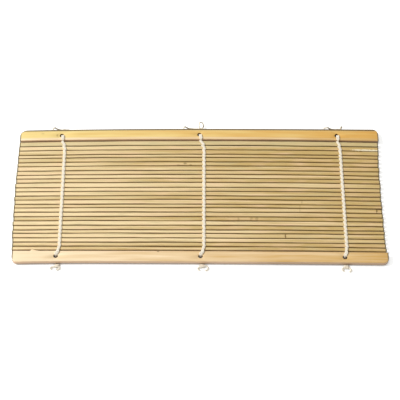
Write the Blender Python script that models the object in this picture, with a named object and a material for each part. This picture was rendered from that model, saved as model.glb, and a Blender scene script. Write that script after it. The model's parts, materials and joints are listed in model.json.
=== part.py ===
"""Bamboo draining mat.

Thin bamboo slats lie side by side between two thick end slats. Three pairs of cotton strands
twine round them: one strand of a pair passes over a slat while the other passes under it, and
the two change places in every gap. At each end of the mat one strand goes down through a hole
in the end slat, the other runs under the slat, and the two are tied in a knot that lies just
outside the edge, with two loose tails.

X runs along the slats, +Y points to the far edge and +Z is up. The origin is under the middle
of the mat, on the surface that it lies on.
"""

import random
from math import cos, hypot, pi, sin, sqrt

import bmesh
import bpy
from mathutils import Vector

MM = 0.001

# The mat without its knots, along the slats and across them
SLAT_LENGTH = 300.0 * MM
MAT_DEPTH = 126.1 * MM

# Thin slats. They are split by hand, so no two widths agree: each takes its share of the room
# between the end slats, listed from the far edge to the near one.
THIN_SHARES = (
    3.85, 3.3, 3.7, 2.2, 3.3, 3.1, 3.5, 3.0, 2.9, 3.0, 3.8, 2.9, 3.3,
    2.8, 3.4, 2.4, 3.2, 3.4, 2.9, 3.4, 3.2, 2.4, 3.3, 3.1, 2.9, 2.7,
)
THIN_THICKNESS = 3.1 * MM
THIN_ARRIS = 0.4 * MM
SLAT_GAP = 0.9 * MM
# The near end slat stands further off its neighbour than the others do
NEAR_GAP = 1.8 * MM
# The most that the saw leaves off one end of a thin slat
END_TRIM = 0.6 * MM

# End slats
FAR_END_WIDTH = 10.45 * MM
NEAR_END_WIDTH = 9.5 * MM
END_THICKNESS = 4.6 * MM
END_ARRIS = 0.5 * MM
# The outer corners of each end slat, left and then right
FAR_CORNER_RADII = (6.0 * MM, 4.5 * MM)
NEAR_CORNER_RADII = (4.5 * MM, 4.5 * MM)
CORNER_STEPS = 6

# Holes in the end slats, one for each cord: one in the middle, and one this far from each end
HOLE_INSET = 35.0 * MM
# The far end slat's holes lie this far in from the middle of its width
FAR_HOLE_SHIFT = 0.9 * MM
HOLE_DIAMETER = 3.6 * MM
HOLE_SIDES = 20

# Cotton strands, which the slats press flat
STRAND_THICKNESS = 0.95 * MM
STRAND_WIDTH = 2.0 * MM
STRAND_CLEARANCE = 0.15 * MM
PAIR_CLEARANCE = 0.4 * MM
# The share of its width that a strand keeps between two slats, and in a hole, where it is round
GAP_SHARE = 0.7
HOLE_SHARE = 0.8
# How far the lowest stitches stay off the surface, which the knots rest on
STITCH_LIFT = 0.1 * MM
# How far a stitch rises above a slat's face in the gap, and how far in it lies flat
THROAT_RISE = 0.1 * MM
CROWN_INSET = 0.45 * MM
# The share of the pair's half spacing that a stitch keeps where it lies flat
CROWN_LEAN = 0.65

# Each pair runs beside its holes. It leans a little from the far edge to the near one.
PAIR_OFFSETS = {"left": 2.9 * MM, "middle": 3.9 * MM, "right": 2.1 * MM}
PAIR_LEANS = {"left": -0.6 * MM, "middle": -1.2 * MM, "right": 0.0}
# How far from the holes a pair takes to come to its place, at the far edge and at the near one
FAR_SHIFT_RUN = 14.0 * MM
NEAR_SHIFT_RUN = 9.0 * MM
# A strand bends this far from a hole's middle, from this far down the hole to this far off the
# slat's face
HOLE_BEND = 0.5 * MM
HOLE_BEND_DEPTH = 0.8 * MM
HOLE_BEND_RISE = 0.45 * MM

# Knots
KNOT_RADIUS = 1.6 * MM
KNOT_LENGTH = 4.5 * MM
KNOT_FLAT = 0.3 * MM
KNOT_GROOVE = 0.14 * MM
# A knot's radius at its two ends, as a share of its full one
KNOT_END_SHARE = 0.6
KNOT_TURNS = 3
KNOT_RINGS_PER_TURN = 4
KNOT_SIDES = 14
KNOT_CLEARANCE = 0.3 * MM

# Tails: each knot has two. A tail is given by the side of the knot that it leaves, how far its
# tip lies to the right and out from the knot's middle, and how far up its tip is held.
TAIL_DIAMETER = 1.5 * MM
TAIL_STEPS = 5
TAIL_SIDES = 8
TAIL_ROOT = 1.2 * MM
# Where a tail bends, as a share of the way to its tip, and how far one that turns back swings out
TAIL_REACH = 0.7
TAIL_SWING = 0.33
TAILS = {
    "far_left": ((-1, -9.9 * MM, 2.6 * MM, 0.2 * MM), (1, 2.6 * MM, 3.2 * MM, 0.4 * MM)),
    "far_middle": ((-1, -13.9 * MM, 3.5 * MM, 0.2 * MM), (1, 0.4 * MM, 4.6 * MM, 2.6 * MM)),
    "far_right": ((-1, -9.2 * MM, 3.2 * MM, 0.2 * MM), (1, 3.4 * MM, 3.4 * MM, 0.8 * MM)),
    "near_left": ((-1, -4.6 * MM, 2.4 * MM, 0.2 * MM), (1, 2.7 * MM, 2.4 * MM, 0.2 * MM)),
    "near_middle": ((-1, -3.4 * MM, 3.0 * MM, 0.2 * MM), (1, 4.6 * MM, 3.0 * MM, 0.2 * MM)),
    "near_right": ((-1, -2.6 * MM, 3.2 * MM, 0.2 * MM), (1, 2.9 * MM, 4.6 * MM, 0.2 * MM)),
}

# Colours, as linear red, green and blue
END_BAMBOO = (0.74, 0.47, 0.20)
THIN_BAMBOO = (0.70, 0.50, 0.24)
THIN_BAMBOO_SPREAD = 0.06
COTTON = (0.88, 0.80, 0.62)
BAMBOO_ROUGHNESS = 0.5
COTTON_ROUGHNESS = 0.95
SEED = 26

# Sizes that follow
HOLE_PLACES = {
    "left": HOLE_INSET - SLAT_LENGTH / 2,
    "middle": 0.0,
    "right": SLAT_LENGTH / 2 - HOLE_INSET,
}
UNDERSIDE = STITCH_LIFT + STRAND_THICKNESS + STRAND_CLEARANCE
THIN_TOP = UNDERSIDE + THIN_THICKNESS
END_TOP = UNDERSIDE + END_THICKNESS
HINGE_HEIGHT = UNDERSIDE + THIN_THICKNESS / 2

# The pair's strands pass through a gap side by side
PAIR_HALF_SPACING = (STRAND_WIDTH * GAP_SHARE + PAIR_CLEARANCE) / 2
STITCH_RISE = STRAND_CLEARANCE + STRAND_THICKNESS / 2
# Under an end slat, the strand that misses the hole passes this far beside the one in it
BESIDE_HOLE = STRAND_WIDTH + PAIR_CLEARANCE

# A strand's width and thickness in a gap, on a slat and in a hole
THROAT = (STRAND_WIDTH * GAP_SHARE, SLAT_GAP - 2 * STRAND_CLEARANCE)
FLAT = (STRAND_WIDTH, STRAND_THICKNESS)
ROUND = (STRAND_WIDTH * HOLE_SHARE, STRAND_WIDTH * HOLE_SHARE)

# Slats are numbered from 0, the far end slat, to the near end slat. The middle one stays put
# when the mat is rolled, and the others hang from it in two chains.
LAST = len(THIN_SHARES) + 1
MIDDLE = LAST // 2
GAPS = [SLAT_GAP] * (LAST - 1) + [NEAR_GAP]
THIN_ROOM = MAT_DEPTH - FAR_END_WIDTH - NEAR_END_WIDTH - sum(GAPS)
THIN_WIDTHS = [THIN_ROOM * share / sum(THIN_SHARES) for share in THIN_SHARES]
WIDTHS = [FAR_END_WIDTH] + THIN_WIDTHS + [NEAR_END_WIDTH]
KNOT_PLACE = MAT_DEPTH / 2 + KNOT_CLEARANCE + KNOT_RADIUS
KNOT_HEIGHT = KNOT_RADIUS - KNOT_FLAT


def far_edge(slat):
    """The place of a slat's far edge."""
    return MAT_DEPTH / 2 - sum(WIDTHS[:slat]) - sum(GAPS[:slat])


def near_edge(slat):
    """The place of a slat's near edge."""
    return far_edge(slat) - WIDTHS[slat]


def gap_middle(gap):
    """The middle of the gap on the near side of a slat, where the slat's hinge is."""
    return near_edge(gap) - GAPS[gap] / 2


def slat_top(slat):
    """The height of a slat's top face."""
    return END_TOP if slat in (0, LAST) else THIN_TOP


def slat_name(slat):
    """The name of a slat's object."""
    if slat == 0:
        return "end_slat_far"
    if slat == LAST:
        return "end_slat_near"
    return f"slat_{slat:02d}"


def make_material(name, colour, roughness):
    """A plain material for one object."""
    material = bpy.data.materials.new(name)
    material.use_nodes = True
    shader = material.node_tree.nodes["Principled BSDF"]
    shader.inputs["Base Color"].default_value = (*colour, 1.0)
    shader.inputs["Roughness"].default_value = roughness
    shader.inputs["Metallic"].default_value = 0.0
    material.diffuse_color = (*colour, 1.0)
    return material


def make_object(name, bm, material, place, parent=None):
    """An object from a bmesh whose origin is at the given place."""
    bmesh.ops.recalc_face_normals(bm, faces=bm.faces)
    mesh = bpy.data.meshes.new(name)
    bm.to_mesh(mesh)
    bm.free()
    obj = bpy.data.objects.new(name, mesh)
    bpy.context.collection.objects.link(obj)
    if material:
        mesh.materials.append(material)
    obj.location = place
    if parent:
        obj.parent = parent
        obj.location = Vector(place) - world_place(parent)
    return obj


def world_place(obj):
    """Where an object stands, summed along its parents, none of which is turned."""
    place = Vector(obj.location)
    while obj.parent:
        obj = obj.parent
        place += obj.location
    return place


def make_hinges():
    """An empty on each slat's hinge axis, chained from the middle slat outwards."""
    hinges = {}
    for step, stop in ((-1, -1), (1, LAST + 1)):
        parent = None
        for slat in range(MIDDLE + step, stop, step):
            gap = slat if step < 0 else slat - 1
            empty = bpy.data.objects.new(f"hinge_{gap + 1:02d}", None)
            bpy.context.collection.objects.link(empty)
            empty.empty_display_size = THIN_THICKNESS
            place = Vector((0.0, gap_middle(gap), HINGE_HEIGHT))
            empty.location = place
            if parent:
                empty.parent = parent
                empty.location = place - world_place(parent)
            hinges[slat] = empty
            parent = empty
    return hinges


def slat_profile(width, thickness, arris):
    """The corners of a slat's section in Y and Z, about its middle, with its arrises taken off."""
    y, z = width / 2, thickness / 2
    return [
        (-y + arris, -z), (y - arris, -z), (y, -z + arris), (y, z - arris),
        (y - arris, z), (-y + arris, z), (-y, z - arris), (-y, -z + arris),
    ]


def make_thin_slat(slat, hinges, chance):
    """One thin slat, a split stick of bamboo."""
    profile = slat_profile(WIDTHS[slat], THIN_THICKNESS, THIN_ARRIS)
    left = -SLAT_LENGTH / 2 + chance.uniform(0.0, END_TRIM)
    right = SLAT_LENGTH / 2 - chance.uniform(0.0, END_TRIM)
    shade = 1.0 + chance.uniform(-THIN_BAMBOO_SPREAD, THIN_BAMBOO_SPREAD)
    centre_y = (far_edge(slat) + near_edge(slat)) / 2
    origin_y = world_place(hinges[slat]).y if slat in hinges else centre_y
    bm = bmesh.new()
    rings = [
        [bm.verts.new((x, centre_y - origin_y + y, z)) for y, z in profile]
        for x in (left, right)
    ]
    bm.faces.new(rings[0])
    bm.faces.new(rings[1])
    for corner in range(len(profile)):
        after = (corner + 1) % len(profile)
        bm.faces.new((rings[0][corner], rings[0][after], rings[1][after], rings[1][corner]))
    material = make_material(
        f"bamboo_{slat_name(slat)}", [channel * shade for channel in THIN_BAMBOO], BAMBOO_ROUGHNESS
    )
    place = (0.0, origin_y, HINGE_HEIGHT)
    return make_object(slat_name(slat), bm, material, place, hinges.get(slat))


def end_outline(outer, inner, out, radii):
    """An end slat's outline in X and Y: square inner corners and round outer ones."""
    half = SLAT_LENGTH / 2
    points = [(-half, inner), (half, inner)]
    for side, radius in ((1, radii[1]), (-1, radii[0])):
        for step in range(CORNER_STEPS + 1):
            turn = step / CORNER_STEPS * pi / 2
            if side < 0:
                turn = pi / 2 - turn
            x = side * (half - radius + radius * cos(turn))
            points.append((x, outer - out * (radius - radius * sin(turn))))
    return points


def cylinder_cutter(name, radius, sides, bottom, top, place, parent):
    """A round cutter that stands along Z, hidden from the renders."""
    bm = bmesh.new()
    bmesh.ops.create_cone(
        bm, cap_ends=True, segments=sides, radius1=radius, radius2=radius, depth=top - bottom
    )
    cutter = make_object(name, bm, None, place, parent)
    cutter.hide_render = True
    cutter.display_type = "WIRE"
    return cutter


def add_boolean(obj, other, operation):
    """A Boolean modifier that stays on the object."""
    modifier = obj.modifiers.new(other.name, "BOOLEAN")
    modifier.operation = operation
    modifier.object = other


def make_end_slat(slat, out, radii, hinges):
    """A thick end slat with its three cord holes."""
    outer = out * MAT_DEPTH / 2
    inner = outer - out * WIDTHS[slat]
    origin_y = world_place(hinges[slat]).y
    bm = bmesh.new()
    outline = end_outline(outer, inner, out, radii)
    ring = [bm.verts.new((x, y - origin_y, UNDERSIDE - HINGE_HEIGHT)) for x, y in outline]
    base = bm.faces.new(ring)
    raised = bmesh.ops.extrude_face_region(bm, geom=[base])
    top = [item for item in raised["geom"] if isinstance(item, bmesh.types.BMVert)]
    bmesh.ops.translate(bm, verts=top, vec=(0.0, 0.0, END_THICKNESS))
    flat_edges = [
        edge for edge in bm.edges if abs(edge.verts[0].co.z - edge.verts[1].co.z) < MM * MM
    ]
    bmesh.ops.recalc_face_normals(bm, faces=bm.faces)
    bmesh.ops.bevel(
        bm, geom=flat_edges, offset=END_ARRIS, segments=2, profile=0.5, affect="EDGES"
    )
    material = make_material(f"bamboo_{slat_name(slat)}", END_BAMBOO, BAMBOO_ROUGHNESS)
    place = (0.0, origin_y, HINGE_HEIGHT)
    end_slat = make_object(slat_name(slat), bm, material, place, hinges[slat])
    for side, x in HOLE_PLACES.items():
        middle = (x, hole_y(out), (UNDERSIDE + END_TOP) / 2)
        overshoot = END_THICKNESS / 4
        cutter = cylinder_cutter(
            f"hole_{slat_name(slat)}_{side}", HOLE_DIAMETER / 2, HOLE_SIDES,
            UNDERSIDE - overshoot, END_TOP + overshoot, middle, hinges[slat],
        )
        add_boolean(end_slat, cutter, "DIFFERENCE")
    return end_slat


def hole_y(out):
    """The place of the holes in the end slat on one side of the mat."""
    if out > 0:
        return (MAT_DEPTH - FAR_END_WIDTH) / 2 - FAR_HOLE_SHIFT
    return (NEAR_END_WIDTH - MAT_DEPTH) / 2


def pair_x(side, y):
    """The middle of a pair of strands: over its holes at the ends, beside them in between."""
    far_run = (hole_y(1) - y) / FAR_SHIFT_RUN
    near_run = (y - hole_y(-1)) / NEAR_SHIFT_RUN
    run = min(max(min(far_run, near_run), 0.0), 1.0)
    eased = run * run * (3.0 - 2.0 * run)
    lean = PAIR_LEANS[side] * (0.5 - y / MAT_DEPTH)
    return HOLE_PLACES[side] + eased * (PAIR_OFFSETS[side] + lean)


def stitch(side, slat, over):
    """The stations of one strand over or under one thin slat, from its far gap to its near one."""
    face, rise = (slat_top(slat), 1) if over else (UNDERSIDE, -1)
    lean = PAIR_HALF_SPACING if over else -PAIR_HALF_SPACING
    far_gap, near_gap = gap_middle(slat - 1), gap_middle(slat)
    far_crown, near_crown = far_edge(slat) - CROWN_INSET, near_edge(slat) + CROWN_INSET
    low, high = face + rise * THROAT_RISE, face + rise * STITCH_RISE
    return [
        (pair_x(side, far_gap) - lean, far_gap, low, *THROAT),
        (pair_x(side, far_gap) - lean * CROWN_LEAN, far_crown, high, *FLAT),
        (pair_x(side, near_gap) + lean * CROWN_LEAN, near_crown, high, *FLAT),
        (pair_x(side, near_gap) + lean, near_gap, low, *THROAT),
    ]


def strand_end_y():
    """How far out a strand reaches, where its upper edge meets its knot."""
    drop = KNOT_HEIGHT - STITCH_LIFT - STRAND_THICKNESS
    return KNOT_PLACE - sqrt(KNOT_RADIUS**2 - drop**2) - KNOT_CLEARANCE


def strand_end(side, out, through_hole):
    """The stations of one strand at an end slat, from its knot inwards to the first gap."""
    slat = 0 if out > 0 else LAST
    gap = 0 if out > 0 else LAST - 1
    hole, x = hole_y(out), HOLE_PLACES[side]
    inner = out * (MAT_DEPTH / 2 - WIDTHS[slat])
    crown = inner + out * CROWN_INSET
    gap_y = gap_middle(gap)
    # At the far gap a strand from above lies to the right, and at the near gap to the left
    lean = out * PAIR_HALF_SPACING * (1 if through_hole else -1)
    low = UNDERSIDE - STITCH_RISE
    high = slat_top(slat) + STITCH_RISE
    rim = HOLE_DIAMETER / 2
    end = out * strand_end_y()
    if not through_hole:
        return [
            (x + BESIDE_HOLE, end, low, *FLAT),
            (x + BESIDE_HOLE, hole - out * HOLE_BEND, low, *FLAT),
            (pair_x(side, gap_y) + lean * CROWN_LEAN, crown, low, *FLAT),
            (pair_x(side, gap_y) + lean, gap_y, UNDERSIDE - THROAT_RISE, *THROAT),
        ]
    return [
        (x, end, low, *FLAT),
        (x, hole + out * rim, low, *FLAT),
        (x, hole + out * HOLE_BEND, UNDERSIDE - HOLE_BEND_RISE, *ROUND),
        (x, hole, UNDERSIDE + HOLE_BEND_DEPTH, *ROUND),
        (x, hole, END_TOP - HOLE_BEND_DEPTH, *ROUND),
        (x, hole - out * HOLE_BEND, END_TOP + HOLE_BEND_RISE, *ROUND),
        (x, hole - out * rim, high, *FLAT),
        (pair_x(side, gap_y) + lean * CROWN_LEAN, crown, high, *FLAT),
        (pair_x(side, gap_y) + lean, gap_y, END_TOP + THROAT_RISE, *THROAT),
    ]


def strand_stations(side, first):
    """One strand's whole route, from its far knot to its near knot."""
    stations = strand_end(side, 1, first)
    for slat in range(1, LAST):
        stations += stitch(side, slat, over=(slat % 2 == 0) == first)
    near_through = (LAST % 2 == 0) == first
    return stations + strand_end(side, -1, near_through)[::-1]


def strand_section(width, thickness):
    """A strand's section, flat above and below, about its middle."""
    w, t = width / 2, thickness / 2
    return [(w, 0.0), (w / 2, t), (-w / 2, t), (-w, 0.0), (-w / 2, -t), (w / 2, -t)]


def sweep(bm, stations, section):
    """A closed tube through stations of x, y, z, width and thickness, with filled ends."""
    centres = [Vector(station[:3]) for station in stations]
    rings = []
    for index, station in enumerate(stations):
        before = centres[max(index - 1, 0)]
        after = centres[min(index + 1, len(centres) - 1)]
        here = centres[index]
        tangent = Vector()
        for leg in (here - before, after - here):
            if leg.length:
                tangent += leg.normalized()
        tangent.normalize()
        across = Vector((1.0, 0.0, 0.0)) - tangent * tangent.x
        across.normalize()
        up = across.cross(tangent)
        rings.append([
            bm.verts.new(here + across * u + up * v) for u, v in section(*station[3:])
        ])
    for one, two in zip(rings, rings[1:]):
        for corner in range(len(one)):
            after = (corner + 1) % len(one)
            bm.faces.new((one[corner], one[after], two[after], two[corner]))
    bm.faces.new(rings[0])
    bm.faces.new(rings[-1])


def make_strand(side, first):
    """One cotton strand, unbroken from knot to knot."""
    name = f"strand_{side}_{'a' if first else 'b'}"
    bm = bmesh.new()
    sweep(bm, strand_stations(side, first), strand_section)
    material = make_material(f"cotton_{name}", COTTON, COTTON_ROUGHNESS)
    return make_object(name, bm, material, (0.0, 0.0, 0.0))


def knot_profile():
    """A knot's outline along X: rounded ends, and a groove between one turn and the next."""
    rings = KNOT_TURNS * KNOT_RINGS_PER_TURN
    half = KNOT_LENGTH / 2
    points = []
    for ring in range(rings + 1):
        along = ring / rings
        x = (2 * along - 1) * half
        groove = KNOT_GROOVE * (1 + cos(2 * pi * KNOT_TURNS * along)) / 2
        cap = min((half - abs(x)) / (KNOT_RADIUS / 2), 1.0)
        swell = KNOT_END_SHARE + (1 - KNOT_END_SHARE) * sqrt(cap * (2 - cap))
        points.append((x, (KNOT_RADIUS - groove) * swell))
    return points


def tail_stations(leaves, across, outward, lift, out):
    """A tail's stations about the knot's middle, from inside it to the tip, on one smooth bend."""
    lowest = TAIL_DIAMETER / 2 + STITCH_LIFT - KNOT_HEIGHT
    start = Vector((leaves * TAIL_ROOT, 0.0, TAIL_DIAMETER - KNOT_HEIGHT))
    tip = Vector((across, out * outward, lowest + lift))
    bend = Vector((across * TAIL_REACH, out * outward * TAIL_REACH, lowest))
    if leaves * across < TAIL_ROOT:
        bend.x = leaves * hypot(across, outward) * TAIL_SWING
    stations = []
    for step in range(TAIL_STEPS + 1):
        t = step / TAIL_STEPS
        point = start * (1 - t) ** 2 + bend * 2 * t * (1 - t) + tip * t * t
        stations.append((*point, TAIL_DIAMETER, TAIL_DIAMETER))
    return stations


def round_section(width, thickness):
    """A round section."""
    turns = [2 * pi * corner / TAIL_SIDES for corner in range(TAIL_SIDES)]
    return [(width / 2 * cos(turn), thickness / 2 * sin(turn)) for turn in turns]


def make_knot(side, out, hinges):
    """A knot that lies on the surface outside an end slat, with its two tails."""
    place_name = f"{'far' if out > 0 else 'near'}_{side}"
    slat = 0 if out > 0 else LAST
    middle = Vector((HOLE_PLACES[side] + BESIDE_HOLE / 2, out * KNOT_PLACE, KNOT_HEIGHT))
    bm = bmesh.new()
    rings = []
    for x, radius in knot_profile():
        turns = [2 * pi * (corner + 0.5) / KNOT_SIDES for corner in range(KNOT_SIDES)]
        rings.append([bm.verts.new((x, radius * cos(turn), radius * sin(turn))) for turn in turns])
    for one, two in zip(rings, rings[1:]):
        for corner in range(KNOT_SIDES):
            after = (corner + 1) % KNOT_SIDES
            bm.faces.new((one[corner], one[after], two[after], two[corner]))
    bm.faces.new(rings[0])
    bm.faces.new(rings[-1])
    cut = bmesh.ops.bisect_plane(
        bm, geom=bm.verts[:] + bm.edges[:] + bm.faces[:], dist=KNOT_FLAT / 100,
        plane_co=(0.0, 0.0, -KNOT_HEIGHT), plane_no=(0.0, 0.0, 1.0), clear_inner=True,
    )
    rim = [item for item in cut["geom_cut"] if isinstance(item, bmesh.types.BMEdge)]
    bmesh.ops.contextual_create(bm, geom=rim)
    material = make_material(f"cotton_knot_{place_name}", COTTON, COTTON_ROUGHNESS)
    knot = make_object(f"knot_{place_name}", bm, material, middle, hinges[slat])
    for number, (leaves, across, outward, lift) in enumerate(TAILS[place_name], 1):
        bm = bmesh.new()
        sweep(bm, tail_stations(leaves, across, outward, lift, out), round_section)
        tail = make_object(f"tail_{place_name}_{number}", bm, None, middle, hinges[slat])
        tail.hide_render = True
        tail.display_type = "WIRE"
        add_boolean(knot, tail, "UNION")
    return knot


def shade_smooth_rounds(obj):
    """Smooth shading where faces meet at a shallow angle."""
    obj.data.shade_smooth()
    obj.data.set_sharp_from_angle(angle=pi / 5)


def main():
    """Clears the scene and builds the mat."""
    for obj in list(bpy.data.objects):
        bpy.data.objects.remove(obj, do_unlink=True)
    chance = random.Random(SEED)
    hinges = make_hinges()
    make_end_slat(0, 1, FAR_CORNER_RADII, hinges)
    for slat in range(1, LAST):
        make_thin_slat(slat, hinges, chance)
    make_end_slat(LAST, -1, NEAR_CORNER_RADII, hinges)
    for side in HOLE_PLACES:
        for first in (True, False):
            shade_smooth_rounds(make_strand(side, first))
        for out in (1, -1):
            shade_smooth_rounds(make_knot(side, out, hinges))


main()
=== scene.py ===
"""Looks of the bamboo draining mat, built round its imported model.

The slats, the twined cotton strands and the knots are made afresh on the model's places, each on
the body that carries it. X runs along the slats, +Y points to the far edge and +Z is up.
"""

import json
import random
from math import ceil, cos, pi, radians, sin

import bmesh
import bpy
from bpy.props import FloatProperty, FloatVectorProperty, IntProperty, PointerProperty
from bpy.types import Operator, Panel, PropertyGroup
from mathutils import Matrix, Vector


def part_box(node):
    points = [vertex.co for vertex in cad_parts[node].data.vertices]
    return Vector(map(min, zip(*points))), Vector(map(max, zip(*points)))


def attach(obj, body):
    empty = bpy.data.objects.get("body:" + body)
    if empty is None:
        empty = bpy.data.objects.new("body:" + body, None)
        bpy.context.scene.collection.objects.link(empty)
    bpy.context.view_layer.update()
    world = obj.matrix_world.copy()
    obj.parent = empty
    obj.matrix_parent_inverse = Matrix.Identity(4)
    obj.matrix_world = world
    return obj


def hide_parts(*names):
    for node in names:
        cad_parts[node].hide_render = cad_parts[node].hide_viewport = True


bl_info = {
    "name": "Bamboo draining mat",
    "version": (1, 0, 0),
    "blender": (4, 5, 0),
    "location": "3D View > Sidebar > Mat",
    "description": "Slats, twined strands, knots and stage of a bamboo draining mat",
    "category": "Add Mesh",
}

MM = 0.001

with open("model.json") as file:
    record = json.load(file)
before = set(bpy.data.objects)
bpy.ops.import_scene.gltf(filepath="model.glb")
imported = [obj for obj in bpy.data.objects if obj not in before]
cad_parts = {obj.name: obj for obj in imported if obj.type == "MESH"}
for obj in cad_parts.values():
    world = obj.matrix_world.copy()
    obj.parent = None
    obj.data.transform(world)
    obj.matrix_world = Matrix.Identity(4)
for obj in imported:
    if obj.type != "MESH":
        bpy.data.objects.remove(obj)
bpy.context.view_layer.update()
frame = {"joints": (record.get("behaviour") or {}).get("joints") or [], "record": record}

# Slats and hinges are numbered from the far edge to the near one, as in the model
SIDES = ("left", "middle", "right")
LAST = 27
SLAT_NODES = ["end_slat_far"] + [f"slat_{number:02d}" for number in range(1, LAST)]
SLAT_NODES.append("end_slat_near")
SLAT_BOXES = [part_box(node) for node in SLAT_NODES]
STRAND_NODES = [f"strand_{side}_{letter}" for side in SIDES for letter in "ab"]
HINGES = sorted(frame["joints"], key=lambda joint: joint["name"])
BODY_OF = {
    node: body
    for body, nodes in frame["record"]["behaviour"]["bodies"].items()
    for node in nodes
}
HINGE_HEIGHT = HINGES[0]["pos_m"][2]
HALF_LENGTH = 150.0 * MM
HALF_DEPTH = 63.05 * MM

# The radii of each end slat's outer corners, left and then right, as in the model
WIDEST_CORNER = 6.0 * MM
END_CORNERS = {0: (WIDEST_CORNER, 4.5 * MM), LAST: (4.5 * MM, 4.5 * MM)}
CORNER_STEPS = 12
ARRIS_STEPS = 4
# An end slat is cut across at these steps, so that it can bow
BOW_STEP = 15.0 * MM
BOW_START = 4.0 * MM
BOW_STEPS = range(-9, 10)

# Holes in the end slats: their places along the slats, and across them at the two edges
HOLE_PLACES = {"left": -115.0 * MM, "middle": 0.0, "right": 115.0 * MM}
HOLE_FAR = 56.925 * MM
HOLE_NEAR = -58.3 * MM
HOLE_RADIUS = 1.8 * MM
HOLE_SIDES = 32

# Each pair of strands runs beside its holes and leans a little, as in the model. Its two strands
# lie closer together in the outermost gaps.
PAIR_OFFSETS = {"left": 2.9 * MM, "middle": 3.9 * MM, "right": 2.1 * MM}
PAIR_LEANS = {"left": -0.6 * MM, "middle": -1.2 * MM, "right": 0.0}
PAIR_HALF_SPACING = 0.8 * MM
OUTER_GAP_SHARE = 0.35
BESIDE_HOLE = 2.4 * MM
FAR_SHIFT_RUN = 14.0 * MM
NEAR_SHIFT_RUN = 9.0 * MM
# How far a strand's middle lies off the face of a slat that it crosses
STITCH_LIFT = 0.6 * MM
RIGHT = Vector((1.0, 0.0, 0.0))

# Knots, as in the model. A tail is given by the points that it passes, in millimetres: along the
# mat, out from its middle and up. The far tails curl back over the end slat's edge.
KNOT_OUT = 64.95 * MM
KNOT_HEIGHT = 1.3 * MM
WRAP_TURNS = 3
WRAP_TURN_STEPS = 10
WRAP_HALF_LENGTH = 1.6 * MM
WRAP_HALF_DEPTH = 1.0 * MM
WRAP_HALF_HEIGHT = 0.63 * MM
TAILS = {
    "far_left": (
        ((-115.2, 65.4, 1.5), (-117.6, 65.3, 2.2), (-120.0, 65.2, 4.0), (-121.2, 65.0, 5.8),
         (-122.0, 63.8, 6.7), (-122.8, 62.3, 6.6)),
        ((-112.5, 65.4, 1.4), (-110.8, 65.7, 1.1), (-108.4, 65.1, 1.0)),
    ),
    "far_middle": (
        ((0.0, 65.4, 1.5), (-4.5, 65.4, 1.6), (-8.8, 65.3, 2.6), (-11.2, 65.1, 4.6),
         (-12.4, 64.6, 6.2), (-13.4, 62.6, 6.7)),
        ((2.2, 65.4, 1.5), (3.4, 68.0, 2.4), (2.4, 70.2, 3.8), (0.3, 70.0, 4.8),
         (0.1, 67.2, 6.2), (0.15, 63.8, 6.9), (0.2, 62.2, 6.7)),
    ),
    "far_right": (
        ((115.0, 65.4, 1.5), (112.0, 65.3, 1.8), (109.2, 65.1, 3.6), (108.0, 64.4, 5.8),
         (106.5, 63.5, 6.7), (103.8, 63.2, 6.6)),
        ((117.6, 65.4, 1.5), (119.6, 65.7, 2.8), (119.8, 65.4, 5.2), (118.8, 64.6, 6.8),
         (118.2, 62.4, 6.7)),
    ),
    "near_left": (
        ((-115.2, 65.6, 1.4), (-117.6, 65.8, 1.5), (-119.2, 66.8, 1.2), (-118.2, 68.0, 1.0)),
        ((-112.4, 65.6, 1.4), (-111.8, 67.0, 1.2), (-113.2, 68.0, 1.0), (-114.8, 68.0, 1.0)),
    ),
    "near_middle": (
        ((0.0, 65.6, 1.5), (-1.8, 66.2, 1.3), (-2.0, 67.6, 1.0), (-0.4, 68.6, 1.0)),
        ((2.4, 65.2, 1.6), (4.6, 64.8, 1.7), (5.9, 66.4, 1.3), (5.3, 68.1, 1.0),
         (3.6, 68.6, 1.0)),
    ),
    "near_right": (
        ((115.0, 65.6, 1.5), (113.2, 65.8, 1.4), (112.8, 67.3, 1.0), (114.6, 68.5, 1.0)),
        ((117.4, 65.4, 1.5), (119.2, 66.2, 1.4), (119.6, 67.9, 1.0), (118.2, 69.2, 1.0)),
    ),
}

# Marks that the photograph shows. Each is a place along the mat and across it, its half length,
# its half width, all in millimetres, and its strength.
THIN_STAINS = (
    (-12.1, 29.4, 1.5, 0.9, 0.55), (-7.4, 28.2, 1.2, 0.6, 0.35), (-17.6, 28.1, 1.2, 0.5, 0.25),
    (31.0, -23.0, 0.9, 1.5, 0.3), (41.4, -23.0, 1.3, 1.5, 0.28), (45.8, -23.0, 1.2, 1.5, 0.32),
    (143.6, -14.9, 0.6, 1.7, 0.85), (145.0, -13.3, 1.0, 0.6, 0.75), (147.0, -13.5, 1.0, 0.6, 0.7),
    (68.4, -38.6, 0.6, 1.6, 0.85), (81.3, -11.0, 0.5, 1.5, 0.2), (81.0, -14.8, 0.5, 1.5, 0.2),
    (83.0, -7.0, 0.5, 1.6, 0.3),
)
# Fresh wood where slivers are split off near the right end
THIN_CHIPS = (
    (132.0, 44.1, 5.0, 0.6, 0.8), (139.0, 43.9, 6.0, 0.75, 1.0), (145.5, 43.7, 5.0, 0.9, 1.0),
)
END_STAINS = (
    (-118.8, 57.2, 0.8, 1.5, 0.3), (-131.0, 59.2, 1.6, 0.7, 0.2), (-33.8, -54.3, 0.9, 0.5, 0.55),
)
# The thin slat next to the far end slat is cut from greener bamboo than the rest
GREEN_SLAT = 1
GREEN_SHARE = 0.55
# Painted shade on the far edge goes round its left corner with this radius, this far off the
# left end
EDGE_SHADE_CORNER = 5.5 * MM
EDGE_SHADE_INSET = 0.9 * MM
# A splinter of the near end slat stands out into its gap: where it is widest, how far it stands
# out there, how long it is to its left and its right, and how it is cut across
SPLINTER_PLACE = -134.2 * MM
SPLINTER_REACH = 1.5 * MM
SPLINTER_LEFT = 1.3 * MM
SPLINTER_RIGHT = 6.5 * MM
SPLINTER_STEP = 0.65 * MM
SPLINTER_STEPS = range(-3, 12)

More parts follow.
